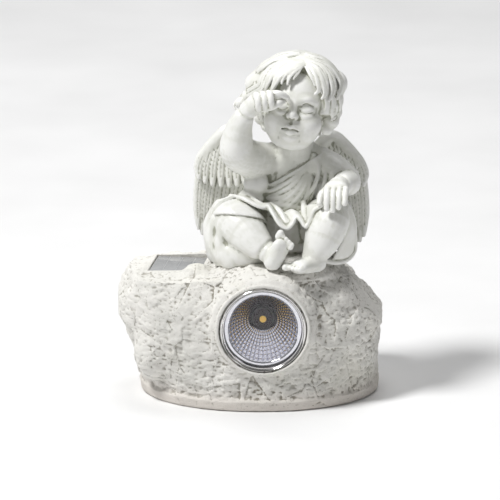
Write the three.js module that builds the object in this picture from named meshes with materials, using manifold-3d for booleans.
// A small garden ornament: a seated cherub rubbing one eye, cast in one piece with a rough rock.
// A round spotlight sits in the front of the rock and a solar panel lies in its top.
// Millimetres. The viewer's right is +X, the back is +Y and up is +Z. The origin is the centre of the underside.
import * as THREE from 'three';
import { LoftGeometry } from 'three/addons/geometries/LoftGeometry.js';
import { mergeVertices } from 'three/addons/utils/BufferGeometryUtils.js';
import Module from 'manifold-3d';

const wasm = await Module();
wasm.setup();

// Driving dimensions
const WIDTH = 120;
const DEPTH = 85;
const HEIGHT = 160;
const GAP = 0.3; // clearance between separate pieces that touch
const WELD = 1e-3; // corners closer than this are one
const FLAT = 0.03; // facets are merged where that moves the surface by less than this

// Lamp: places along its axis are depths behind its front
const LAMP = { x: 5.6, z: 38.7, front: -42.3, radius: 19.6, depth: 22 };

// Solar panel
const PANEL = { x: -32.5, y: 0, top: 57.3, width: 23.5, depth: 26, thickness: 2.4, turnDeg: -9 };

// Head: where it sits and how it is nodded back, tilted and turned, in degrees about X, Y and Z
const HEAD = { place: [21, -6, 134.6], turnDeg: [-10, 8.6, -7] };

// Shape tools

const vec = (p) => new THREE.Vector3(...p);
const rad = THREE.MathUtils.degToRad;

function splineOf(points) {
  return new THREE.CatmullRomCurve3(points.map(vec), false, 'catmullrom', 0.5);
}

// Turns a closed three.js geometry into a solid that can be joined and cut.
function solid(geometry) {
  const bare = new THREE.BufferGeometry();
  bare.setAttribute('position', geometry.getAttribute('position'));
  bare.setIndex(geometry.index);
  const merged = mergeVertices(bare, WELD);
  const corners = merged.index.array;
  const triVerts = [];
  for (let i = 0; i < corners.length; i += 3) {
    const [a, b, c] = corners.slice(i, i + 3);
    if (a !== b && b !== c && c !== a) triVerts.push(a, b, c);
  }
  const make = (tris) => new wasm.Manifold(new wasm.Mesh({
    numProp: 3,
    vertProperties: merged.attributes.position.array,
    triVerts: new Uint32Array(tris),
  }));
  const made = make(triVerts);
  return made.volume() < 0 ? make(triVerts.reverse()) : made;
}

// A rounded body swept along a smooth path. Each row is [x, y, z, half width, half thickness].
// The thickness is measured along the face direction, which is a vector or a function of the point.
function limb(rows, { sides = 10, steps = 3, caps = 2, face = [0, -1, 0] } = {}) {
  const path = splineOf(rows.map((r) => r.slice(0, 3)));
  const sizes = splineOf(rows.map((r) => [r[3], r[4] ?? r[3], 0]));
  const count = (rows.length - 1) * steps;
  const sections = [];
  const ring = (t, bend) => {
    const centre = path.getPoint(t);
    const along = path.getTangent(t);
    const { x: half, y: thick } = sizes.getPoint(t);
    const out = vec(typeof face === 'function' ? face(centre) : face);
    out.addScaledVector(along, -out.dot(along)).normalize();
    const side = out.clone().cross(along);
    centre.addScaledVector(along, Math.sin(bend) * Math.min(half, thick));
    const shrink = Math.cos(bend);
    const points = [];
    for (let i = 0; i < sides; i++) {
      const angle = (2 * Math.PI * i) / sides;
      points.push(centre.clone()
        .addScaledVector(side, Math.cos(angle) * half * shrink)
        .addScaledVector(out, Math.sin(angle) * thick * shrink));
    }
    sections.push(points);
  };
  const CAP_ANGLE = rad(75);
  for (let k = caps; k > 0; k--) ring(0, (-CAP_ANGLE * k) / caps);
  for (let i = 0; i <= count; i++) ring(i / count, 0);
  for (let k = 1; k <= caps; k++) ring(1, (CAP_ANGLE * k) / caps);
  return solid(new LoftGeometry(sections, { capStart: true, capEnd: true }));
}

// An ellipsoid. A higher detail has more facets.
function blob(centre, radii, detail = 1) {
  const geometry = new THREE.IcosahedronGeometry(1, detail);
  geometry.scale(...radii);
  geometry.translate(...centre);
  return solid(geometry);
}

// A sheet stretched through rows of points: a fine flat box bent to the surface.
// The thickness is a function of the place across the rows, from 0 to 1.
function sheet(rows, thickness, { across = 3, along = 2 } = {}) {
  const lines = rows.map(splineOf);
  const columns = (rows[0].length - 1) * along;
  const deep = (rows.length - 1) * across;
  const surface = (u, v) => splineOf(lines.map((line) => line.getPoint(u).toArray())).getPoint(v);
  const STEP = 1e-3;
  const clamp01 = (t) => THREE.MathUtils.clamp(t, 0, 1);
  const geometry = new THREE.BoxGeometry(1, 1, 1, columns, deep, 1);
  const place = geometry.getAttribute('position');
  for (let i = 0; i < place.count; i++) {
    const [u, v] = [place.getX(i) + 0.5, place.getY(i) + 0.5];
    const du = surface(clamp01(u + STEP), v).sub(surface(clamp01(u - STEP), v));
    const dv = surface(u, clamp01(v + STEP)).sub(surface(u, clamp01(v - STEP)));
    const point = surface(u, v).addScaledVector(du.cross(dv).normalize(), place.getZ(i) * thickness(u));
    place.setXYZ(i, point.x, point.y, point.z);
  }
  return solid(geometry);
}

const join = (parts) => wasm.Manifold.union(parts);
const COARSE = { sides: 5, steps: 1, caps: 1 }; // for fingers and other small limbs

// A big block that fills the side of a plane that its normal points to.
function beyondPlane(point, normal) {
  const BIG = 400;
  const block = new THREE.BoxGeometry(BIG, BIG, BIG);
  block.translate(0, 0, BIG / 2);
  const turn = new THREE.Quaternion().setFromUnitVectors(vec([0, 0, 1]), vec(normal).normalize());
  block.applyQuaternion(turn);
  block.translate(...point);
  return solid(block);
}

// Head, in its own frame: face to -Y, crown up, turned into place as one

const headTurn = new THREE.Matrix4().makeRotationFromEuler(new THREE.Euler(...HEAD.turnDeg.map(rad), 'ZYX'));
headTurn.setPosition(...HEAD.place);
const bothSides = (make) => [-1, 1].map(make);

function face() {
  return [
    blob([0, 1, 4], [15.2, 17.2, 16.2]),
    blob([0, -4.2, 2.5], [13, 13.4, 13.6], 2),
    blob([0, -6, -9], [11.8, 10.4, 9.6], 2),
    ...bothSides((s) => blob([s * 6.6, -9.6, -7], [6.9, 6.5, 6.8])),
    blob([0, -13.6, -14.2], [4.4, 3.8, 3.4], 0),
    blob([0, -4, -15.5], [9.6, 9.4, 6]),
    limb([[0, -15.6, 3, 1.3], [0, -16.8, -1, 1.4], [0, -18, -4, 1.9]], COARSE),
    ...bothSides((s) => blob([s * 1.7, -16.6, -4.7], [1.5, 1.5, 1.3], 0)),
    ...bothSides((s) => blob([s * 5.6, -14.2, -0.7], [3.6, 2.3, 2.3])),
    ...bothSides((s) => blob([s * 1.3, -16.4, -9.2], [1.8, 1.4, 0.9], 0)),
    blob([0, -16.1, -11.6], [2.1, 1.6, 1.1], 0),
  ];
}

const head = join(face()).transform(headTurn.toArray());

// Hair, laid on a ball. A place on it is across and up as seen from the front, a little above the level,
// or as seen level from behind.
const BALL = { centre: [20.9, -4, 138], radius: 19.4, seenFromDeg: 16 };
const OPENING_START = 5; // the face's opening starts this far in front of the ball's centre
const NAPE = 11; // and the ball ends this far below it

function onBall([across, up, lift], behind = false) {
  const tilt = behind ? Math.PI : -rad(BALL.seenFromDeg);
  const radius = BALL.radius + lift;
  const depth = Math.sqrt(Math.max(radius ** 2 - across ** 2 - up ** 2, 0));
  const seen = new THREE.Vector3(across, -depth, behind ? -up : up);
  return seen.applyAxisAngle(vec([1, 0, 0]), tilt).add(vec(BALL.centre)).toArray();
}

// A lock of hair from root to tip, widest in the middle. A path's rows are [across, up, lift].
function lock(path, width, behind = false) {
  const last = path.length - 1;
  const rows = path.map((row, i) => {
    const girth = width * Math.max(Math.sin(Math.PI * (0.14 + (0.8 * i) / last)), 0.35);
    return [...onBall(row, behind), girth, girth * 0.6];
  });
  const outward = (point) => point.clone().sub(vec(BALL.centre)).toArray();
  return limb(rows, { sides: 4, steps: 1, caps: 1, face: outward });
}

// Locks that fall from the parting, then those beside the face and under the raised fist
const LOCKS = [
  { path: [[0, 17.6, 0.4], [-12, 15.4, 1.2], [-19.4, 8, 1.2], [-17.6, 2.6, 0.6]], width: 3.8 },
  { path: [[1.4, 15.6, 0.5], [-11, 12, 1.9], [-16, 4, 1.8], [-25.4, -3.6, 0]], width: 3 },
  { path: [[2.4, 14.6, 0.6], [-6.6, 11.6, 2.2], [-12, 4.4, 1.8], [-13.4, 0.6, 1.1]], width: 3.4 },
  { path: [[3.2, 13.6, 0.4], [-1.4, 11.4, 1.4], [-5.8, 4.2, 1.2]], width: 2.8 },
  { path: [[4, 18, 0.4], [15, 14, 1.2], [20.6, 6, 1.4], [19.4, -1, 1.4]], width: 3.8 },
  { path: [[4.4, 15.4, 0.5], [13.4, 9.8, 2], [16.4, 1, 2.6], [14.2, -3.4, 1.8]], width: 3.2 },
  { path: [[3.6, 13.6, 0.4], [8.6, 8.6, 1.8], [10.4, 1.6, 1.8], [8, -0.6, 1]], width: 2.4 },
  { path: [[17, -1, 0.6], [18.4, -7, 0.6], [17.6, -13, 0.4], [13.6, -16, 0.8]], width: 2.6 },
  { path: [[-17.4, -3, 0.4], [-17, -10, 0.2], [-13.6, -17, 0.4]], width: 3.2 },
];
const PADS = [[-15.5, 6.4, -5.5, 6], [16.4, 5, -5.6, 6.4], [14.6, -8.6, -6, 4.6], [-14.4, -9, -5, 4.6]];
const FACE_OPENING = [
  [3.2, 12.6], [-2.6, 7.6], [-8, 5], [-11.4, 0], [-12.6, -8],
  [-11.6, -30], [13, -30], [13.4, -10], [12, -2], [8.4, 4],
];

function hair() {
  const pads = PADS.map(([across, up, lift, radius]) => blob(onBall([across, up, lift]), [radius, radius, radius]));
  const outline = new THREE.Shape(FACE_OPENING.map(([across, up]) => new THREE.Vector2(across, up)));
  const opening = new THREE.ExtrudeGeometry(outline, { depth: 2 * BALL.radius, bevelEnabled: false });
  opening.translate(0, 0, OPENING_START);
  opening.rotateX(Math.PI / 2 - rad(BALL.seenFromDeg));
  opening.translate(...BALL.centre);
  const cap = join([blob(BALL.centre, [BALL.radius, BALL.radius, BALL.radius], 3), ...pads])
    .subtract(solid(opening))
    .subtract(beyondPlane([BALL.centre[0], BALL.centre[1], BALL.centre[2] - NAPE], [0, -0.4, -1]));
  const back = [];
  const BACK_ROWS = [{ from: 16, to: -2, places: [-0.8, 0, 0.8] }, { from: 0, to: -17, places: [-0.5, 0.5] }];
  const BACK_WIDTH = 6;
  for (const { from, to, places } of BACK_ROWS) {
    for (const share of places) {
      const middle = (from + to) / 2;
      const rim = (up) => Math.sqrt(BALL.radius ** 2 - up ** 2) * share;
      back.push(lock([[rim(from), from, 0], [rim(middle), middle, 1], [rim(to), to, 1.4]], BACK_WIDTH, true));
    }
  }
  return join([cap, ...LOCKS.map(({ path, width }) => lock(path, width)), ...back]);
}

// Torso, with points on its skin found by angle and height

const TORSO = [
  [14, 5, 68, 15, 13], [15, 0, 82, 14.5, 13], [17, -1, 96, 13, 11],
  [19, 0, 107, 11.5, 8.5], [19.5, -2, 115, 7.5, 7],
];
const torso = limb(TORSO, { sides: 12, steps: 1 });
const neck = limb([[19.5, -1, 110, 8.5], [20, -2, 122, 8]], { sides: 10, steps: 1, caps: 0 });
const shoulders = blob([19, 2, 107.5], [14, 9, 9]);

function onTorso(degrees, z, lift) {
  const path = splineOf(TORSO.map((r) => r.slice(0, 3)));
  const sizes = splineOf(TORSO.map((r) => [r[3], r[4], 0]));
  let t = 0;
  while (t < 1 && path.getPoint(t).z < z) t += 0.01;
  const centre = path.getPoint(t);
  const { x: half, y: thick } = sizes.getPoint(t);
  const a = rad(degrees);
  return [centre.x + Math.sin(a) * (half + lift), centre.y - Math.cos(a) * (thick + lift), z];
}

// The toga leaves one shoulder bare: it is cut off along a slanting neckline, and folds fan out from the other.
const NECKLINE = { point: [17, -12, 103], normal: [-18, 2, 31] };
const FOLD_ENDS = [{ angle: -58, z: 91, sag: 100 }, { angle: -40, z: 86, sag: 103 }, { angle: 0, z: 84, sag: 105 }];
const CLOTH = 1; // how far the cloth stands off the skin

function bodice() {
  const cloth = limb(TORSO.map(([x, y, z, a, b]) => [x, y, z, a + CLOTH, b + CLOTH]), { sides: 12, steps: 1 });
  const folds = FOLD_ENDS.map(({ angle, z, sag }, i) => {
    const from = onTorso(62 - i * 4, 108, 0.6);
    const middle = onTorso((angle + 60) / 2, (z + sag + 6) / 2, 0.9);
    const to = onTorso(angle, z, 0.4);
    return limb([[...from, 1], [...middle, 1.4], [...to, 0.5]], { sides: 4, steps: 1, caps: 1 });
  });
  return join([cloth, ...folds]).subtract(beyondPlane(NECKLINE.point, NECKLINE.normal));
}

// Limbs

const LIMBS = {
  rightArm: [
    [7, -1, 106, 8.5], [0, -9, 109.5, 8.5], [-5.8, -16, 115, 8], [-5.6, -19, 124, 6.6], [-3.6, -21.5, 131, 5],
    [-0.8, -23, 136.3, 3.9],
  ],
  leftArm: [
    [31, -1, 105, 8], [38.5, -4, 102, 7.4], [43.6, -8, 98.5, 6.4], [42, -15, 99.5, 5.2], [39.5, -21, 100.3, 4],
  ],
  rightLeg: [
    [2, -2, 76, 10], [-7.5, -14, 82.5, 9.4], [-2, -21, 78.5, 9.2], [3.5, -26.5, 74.5, 7], [8, -29.5, 71.5, 5],
  ],
  leftLeg: [[26, 0, 76, 10], [36, -21, 86, 8.6], [32.8, -26, 78, 8.6], [28.5, -28, 69, 5.6]],
};

const FIST = { firstFinger: 3.2, pitch: 2.75, rise: 0.4 };

function fist() {
  const palm = limb([[-0.8, -23, 136.3, 4], [5, -24.2, 140, 5.2, 4.2]], { sides: 8, steps: 1 });
  const fingers = [0, 1, 2].map((i) => {
    const x = FIST.firstFinger + FIST.pitch * i;
    const z = FIST.rise * i;
    return limb([
      [x, -24.5, 143 + z, 1.6], [x + 0.4, -28.4, 142.6 + z, 1.7],
      [x + 0.8, -28.8, 138.6 + z, 1.7], [x + 0.9, -26, 136.8 + z, 1.5],
    ], COARSE);
  });
  const index = limb([[9.5, -25, 143.4, 1.8], [13, -26, 143.6, 1.6], [16, -23.5, 141.6, 1.4]], COARSE);
  const thumb = limb([[6, -26, 137.8, 1.9], [10.5, -27.5, 139.8, 1.7], [14.4, -25.8, 139.8, 1.4]], COARSE);
  return [palm, ...fingers, index, thumb];
}

const HAND = { firstFinger: 34.4, pitch: 2.6, drops: [0, 0.6, -0.8, -2.6] };

function restingHand() {
  const palm = [[39.5, -21, 100.4, 4.2, 3.4], [38.3, -26.5, 99.5, 5.4, 3]];
  const back = limb(palm, { sides: 8, steps: 1, face: [0, 0, 1] });
  const fingers = HAND.drops.map((drop, i) => {
    const x = HAND.firstFinger + HAND.pitch * i;
    return limb([[x, -25.5, 100, 1.6], [x, -31, 98, 1.6], [x - 0.2, -33.2, 92.5 - drop, 1.4]], COARSE);
  });
  const thumb = limb([[35, -24, 99, 1.8], [31.8, -27.5, 96.5, 1.7], [30.8, -30, 93.5, 1.4]], COARSE);
  return [back, ...fingers, thumb];
}

// The skirt: cloth over both thighs, cut off just below the knees, and a wavy hem between them
const HEM = [
  [1.5, -22, 90.5], [7, -23, 91.4], [11.5, -26, 87], [14.5, -28, 83.4], [18, -27, 84],
  [21, -25.5, 87.4], [24.4, -28.5, 83.8], [27, -27.5, 87.4], [30, -27, 92],
];

const LEFT_FALL = [
  [[35, -2, 86], [37, 2, 74], [38, 4, 64]],
  [[41, -10, 91], [46, -5, 78], [47.5, -3, 65]],
  [[43.5, -19, 91], [46.6, -15, 78], [46.5, -13, 65]],
  [[40, -23, 90], [44, -19.5, 76], [36, -21, 64]],
];
const RIGHT_FALL = [
  [[-13, -8, 86, 4.5], [-17, -7, 77, 4.6], [-14, -8, 65, 5]],
  [[-14.5, -14, 83, 3.4], [-17, -14, 75, 3.6], [-12, -16, 65, 4.4]],
];
const SKIRT = { overLegs: 1.2, thickness: 2.2, hemRoll: 1.3, lapRise: 2 };

function skirt() {
  const grown = ([x, y, z, r]) => [x, y, z, r + SKIRT.overLegs];
  const thigh = (rows) => limb(rows.slice(0, 3).map(grown), { sides: 9, steps: 1 });
  const right = thigh(LIMBS.rightLeg).subtract(beyondPlane([-5, -23, 79], [0.5, -0.85, -0.55]));
  const left = thigh(LIMBS.leftLeg).subtract(beyondPlane([34, -31, 84], [-0.2, -0.5, -1]));
  const last = HEM.length - 1;
  const waist = HEM.map((_, i) => onTorso(-50 + (85 * i) / last, 83, -1));
  const middle = HEM.map((h, i) => h.map((c, k) => (c + waist[i][k]) / 2 + (k === 2 ? SKIRT.lapRise : 0)));
  const even = () => SKIRT.thickness;
  const lap = sheet([waist, middle, HEM], even, { across: 1, along: 1 });
  const roll = limb(HEM.map((h) => [...h, SKIRT.hemRoll]), { sides: 4, steps: 1, caps: 1, face: [0.1, -1, 0.2] });
  const leftFall = sheet(LEFT_FALL, even, { across: 1, along: 2 });
  const rightFolds = RIGHT_FALL.map((rows) => limb(rows, { sides: 7, steps: 1, caps: 1 }));
  return join([right, left, lap, roll, leftFall, ...rightFolds]);
}

// A foot from heel to ball, with five toes fanned over its end. Its sizes are shares of the ball's half width.
const FOOT = {
  heel: 0.8, instep: 0.85, thickness: 0.72, ballThickness: 0.55,
  middleToe: 1.9, toePitch: 0.42, reach: 0.55, slant: 0.1, bigToe: 0.38, toe: 0.29,
};

function foot({ heel, ball, sole, toeSide, size }) {
  const [h, b] = [vec(heel), vec(ball)];
  const ahead = b.clone().sub(h).normalize();
  const side = vec(toeSide).normalize();
  const toes = [0, 1, 2, 3, 4].map((i) => {
    const root = b.clone()
      .addScaledVector(side, (i - FOOT.middleToe) * size * FOOT.toePitch)
      .addScaledVector(ahead, size * (FOOT.reach - FOOT.slant * i));
    const radius = size * (i === 0 ? FOOT.bigToe : FOOT.toe);
    return blob(root.toArray(), [radius, radius, radius], 0);
  });
  const body = limb([
    [...heel, size * FOOT.heel, size * FOOT.thickness],
    [...h.clone().lerp(b, 0.5).toArray(), size * FOOT.instep, size * FOOT.thickness],
    [...ball, size, size * FOOT.ballThickness],
  ], { sides: 8, steps: 1, face: sole });
  return [body, ...toes];
}

const FEET = [
  { heel: [9.5, -33, 67.5], ball: [14, -34.5, 77], sole: [0.8, -0.6, 0], toeSide: [0.55, -0.8, -0.3], size: 4.6 },
  { heel: [28.5, -29, 67], ball: [20.5, -34, 66.6], sole: [0, -0.2, -1], toeSide: [-0.5, -0.85, 0], size: 4.4 },
];

// Wings: a ridge like an arm with two tiers of feathers below it, and the same mirrored and a little lower

const WING = {
  mirrorX: 14,
  drop: 3.4, // how much lower the other wing sits
  ridge: [
    [11, 6, 97, 4.5, 4], [5, 11, 102.5, 4, 3.8], [-2.5, 13.5, 112, 3.6, 3.2], [-9, 15, 117.4, 3.2, 2.8],
    [-16, 15.6, 112, 3, 2.6], [-22, 16, 104.5, 2.2, 2], [-23.4, 16, 98.5, 1.2, 1.2],
  ],
  // the lines that each tier hangs from and ends on
  covertsTop: [[-22.6, 15, 104], [-14, 14.6, 112], [-8, 14, 116], [-1, 12.6, 110], [5, 10.6, 102]],
  covertsEnd: [[-24, 13.8, 95], [-15, 13, 92.4], [-7, 12.2, 92], [3, 11, 93.5]],
  primariesTop: [[-23.6, 16.4, 100], [-10, 16, 102], [5, 14.4, 100]],
  primariesEnd: [[-25.4, 16.4, 72], [-19, 16.2, 65.4], [-10, 15.8, 63.8], [1, 15.2, 66]],
};

// One tier: every feather thickens to its quill and ends in a rounded tip.
function tier(top, end, feathers, thickness) {
  const [upper, lower] = [splineOf(top), splineOf(end)];
  const TIP = 1.8;
  const rows = [0, 0.5, 1].map((v) => Array.from({ length: 2 * feathers + 1 }, (_, k) => {
    const u = k / (2 * feathers);
    const point = upper.getPoint(u).lerp(lower.getPoint(u), v);
    if (v === 1 && k % 2 === 1) point.z -= TIP;
    return point.toArray();
  }));
  const atQuill = (u) => Math.round(u * 2 * feathers) % 2 === 1;
  return sheet(rows, (u) => (atQuill(u) ? thickness : thickness * 0.35), { across: 1, along: 1 });
}

function wing() {
  return join([
    limb(WING.ridge, { sides: 6, steps: 1, caps: 1 }),
    tier(WING.covertsTop, WING.covertsEnd, 6, 3.6),
    tier(WING.primariesTop, WING.primariesEnd, 6, 3.4),
  ]);
}

// Rock: level sections, each with how far it reaches left, right, front and back

const ROCK = {
  sides: 24,
  // each row: height, reach to the left, right, front and back, and squareness (2 is an ellipse)
  sections: [
    [0, -49, 57.2, -40.6, 41, 2.1], [1, -50, 58.2, -41.8, 42, 2.1], [4.6, -50.6, 58.7, -42.2, 42.3, 2.1],
    [6, -50, 58, -41.2, 41.4, 2.1], [20, -53, 58, -41, 41, 2.3], [37, -60, 60, -40.4, 39, 2.6],
    [44, -60, 55, -40, 37, 2.6], [51, -58.6, 48, -38.8, 34, 2.7], [57, -55.6, 42, -36.5, 30, 2.8],
    [59.5, -20, 39.5, -34.5, 26, 2.8], [64.4, -9, 34, -28, 17, 2.8],
  ],
  // flat faces knocked off the boulder: a point on each and the way it looks
  faces: [
    { at: [-35, 17, 57.5], looks: [-0.12, 0.8, 0.75] },
    { at: [-50, -30, 30], looks: [-0.75, -0.8, 0.1] },
    { at: [-30, -38.5, 42], looks: [-0.15, -0.9, 0.45] },
    { at: [-57, -8, 50], looks: [-0.9, -0.15, 0.5] },
    { at: [45, -27, 48], looks: [0.75, -0.6, 0.75] },
    { at: [53, -30, 25], looks: [0.8, -0.75, 0.05] },
    { at: [50, 22, 40], looks: [0.8, 0.8, 0.6] },
    { at: [10, 36, 44], looks: [0.1, 1, 0.7] },
    { at: [-48, 32, 20], looks: [-0.9, 1, 0.1] },
    { at: [44, 36, 20], looks: [0.7, 1, 0] },
  ],
  lampMound: [
    [LAMP.x, -20, LAMP.z, 29, 27], [LAMP.x, -38.5, LAMP.z, 24.5, 23.5], [LAMP.x, -42, LAMP.z, 21.5, 21.3],
  ],
  panelBed: { margin: 2.5, bottom: 40 },
};

function rockSection([z, left, right, front, back, squareness]) {
  const squared = (c) => Math.sign(c) * Math.abs(c) ** (2 / squareness);
  const points = [];
  for (let i = 0; i < ROCK.sides; i++) {
    const a = (2 * Math.PI * i) / ROCK.sides;
    points.push(new THREE.Vector3(
      (left + right) / 2 + ((right - left) / 2) * squared(Math.cos(a)),
      (front + back) / 2 + ((back - front) / 2) * squared(Math.sin(a)),
      z,
    ));
  }
  return points;
}

function rock() {
  const loft = solid(new LoftGeometry(ROCK.sections.map(rockSection), { capStart: true, capEnd: true }));
  const bed = solid(panelBox(ROCK.panelBed.margin, ROCK.panelBed.bottom, PANEL.top));
  const chip = (shape, { at, looks }) => shape.subtract(beyondPlane(at, looks));
  const boulder = ROCK.faces.reduce(chip, join([loft, bed]));
  const mound = limb(ROCK.lampMound, { sides: 18, steps: 1, caps: 0, face: [0, 0, 1] });
  const seat = blob([14, 0, 60], [27, 24, 6]);
  return join([boulder, mound, seat]);
}

// Lamp

// A piece turned about the lamp's axis, from points of [radius, depth behind the lamp's front].
function turned(profile, segments = 28) {
  const geometry = new THREE.LatheGeometry(profile.map((p) => new THREE.Vector2(...p)), segments);
  geometry.translate(LAMP.x, LAMP.front, LAMP.z);
  return solid(geometry);
}

const POCKET_MOUTH = -12; // the pocket's cutter starts well in front of the lamp
const lampPocket = turned([
  [0, POCKET_MOUTH], [LAMP.radius + GAP, POCKET_MOUTH], [LAMP.radius + GAP, LAMP.depth], [0, LAMP.depth],
]);
const RING = { inner: LAMP.radius - 1.9, depth: 3, lip: 0.7 };
const lampRing = turned([
  [RING.inner, 0.1], [RING.inner + 0.7, -RING.lip], [LAMP.radius - 0.5, 0.2 - RING.lip], [LAMP.radius, 0.4],
  [LAMP.radius, RING.depth], [RING.inner, RING.depth], [RING.inner, 0.1],
]);
const insideRing = RING.inner - GAP;

function disc(radius, front, back, segments) {
  return turned([[0, front], [radius, front], [radius, back], [0, back]], segments);
}

const LENS = { front: 0.5, back: 1.7 };
const lampLens = disc(insideRing, LENS.front, LENS.back);

// The bowl's inner face is a parabola from its mouth to the hole for the light-emitting chip.
const BOWL = { mouth: 15, hole: 4.9, top: 2.4, bottom: 20, wall: 1, rings: 4 };

function reflector() {
  const inner = [];
  for (let i = 0; i <= BOWL.rings; i++) {
    const radius = THREE.MathUtils.lerp(BOWL.mouth, BOWL.hole, i / BOWL.rings);
    const fall = (BOWL.mouth ** 2 - radius ** 2) / (BOWL.mouth ** 2 - BOWL.hole ** 2);
    inner.push([radius, THREE.MathUtils.lerp(BOWL.top, BOWL.bottom, fall)]);
  }
  const outer = inner.map(([r, d]) => [r + BOWL.wall, d + BOWL.wall * 0.6]).reverse();
  const flange = [insideRing, BOWL.top - 0.3];
  return turned([flange, ...inner, ...outer, [insideRing, BOWL.top + BOWL.wall], flange]);
}

const BOARD = { thickness: 1.4, segments: 24 };
const boardFront = BOWL.bottom - BOARD.thickness;
const ledBoard = disc(BOWL.hole - GAP, boardFront, BOWL.bottom, BOARD.segments);
const CHIP = { radius: 1.7, height: 0.8, segments: 16 };
const ledChip = disc(CHIP.radius, boardFront - GAP - CHIP.height, boardFront - GAP, CHIP.segments);

// Solar panel

function panelBox(grow, lower, upper) {
  const box = new THREE.BoxGeometry(PANEL.width + 2 * grow, PANEL.depth + 2 * grow, upper - lower);
  box.translate(0, 0, (lower + upper) / 2);
  box.rotateZ(rad(PANEL.turnDeg));
  box.translate(PANEL.x, PANEL.y, 0);
  return box;
}

// Assembly of the casting

const PELVIS = [blob([14, 3, 68], [22, 14, 9]), blob([-4, -18, 68], [13, 9, 8])];
const figure = join([
  torso, neck, shoulders, head, hair(), bodice(), skirt(), ...PELVIS,
  ...Object.values(LIMBS).map((rows) => limb(rows, { sides: 9, steps: 1, caps: 1 })),
  ...fist(), ...restingHand(), ...FEET.flatMap(foot),
  wing(),
  wing().mirror([1, 0, 0]).translate([2 * WING.mirrorX, 0, -WING.drop]),
]);

// Brings a solid to exactly the overall size, standing centred on the origin.
function fitted(shape) {
  const { min, max } = shape.boundingBox();
  const scale = [WIDTH, DEPTH, HEIGHT].map((size, i) => size / (max[i] - min[i]));
  const centre = [(min[0] + max[0]) / 2, (min[1] + max[1]) / 2, min[2]];
  return shape.translate(centre.map((c) => -c)).scale(scale);
}

// Welds a solid's corners and keeps its outer skin alone, so that no small void stays sealed where forms cross.
function outerSkin(shape) {
  const bodies = solid(geometryOf(shape)).decompose();
  return bodies.reduce((best, body) => (body.volume() > best.volume() ? body : best));
}

const OPEN_ABOVE = 20; // how far the panel pocket's cutter rises over the panel
const panelPocket = solid(panelBox(GAP, PANEL.top - PANEL.thickness - GAP, PANEL.top + OPEN_ABOVE));
const uncut = outerSkin(fitted(join([figure.subtract(panelPocket), rock()])));
const casting = outerSkin(uncut.subtract(lampPocket).subtract(panelPocket).simplify(FLAT));

function geometryOf(made) {
  const { vertProperties, triVerts } = made.getMesh();
  const geometry = new THREE.BufferGeometry();
  geometry.setAttribute('position', new THREE.BufferAttribute(vertProperties, 3));
  geometry.setIndex(new THREE.BufferAttribute(triVerts, 1));
  return geometry;
}

const ornament = new THREE.Group();

function place(name, shape, finish) {
  const mesh = new THREE.Mesh(geometryOf(shape), new THREE.MeshStandardMaterial(finish));
  mesh.name = name;
  ornament.add(mesh);
}

const panel = solid(panelBox(0, PANEL.top - PANEL.thickness, PANEL.top));
place('cherub_on_rock', casting, { color: 0xd9d8cc, roughness: 0.7 });
place('solar_panel', panel, { color: 0x6b6f76, roughness: 0.15 });
place('lamp_ring', lampRing, { color: 0xd8d8da, roughness: 0.12, metalness: 1 });
place('lamp_lens', lampLens, { color: 0xffffff, roughness: 0.03, transparent: true, opacity: 0.15 });
place('lamp_reflector', reflector(), { color: 0xc9c9cf, roughness: 0.08, metalness: 1 });
place('led_board', ledBoard, { color: 0x3a3330, roughness: 0.6 });
place('led_chip', ledChip, { color: 0xe0b23a, roughness: 0.4 });

export default ornament;
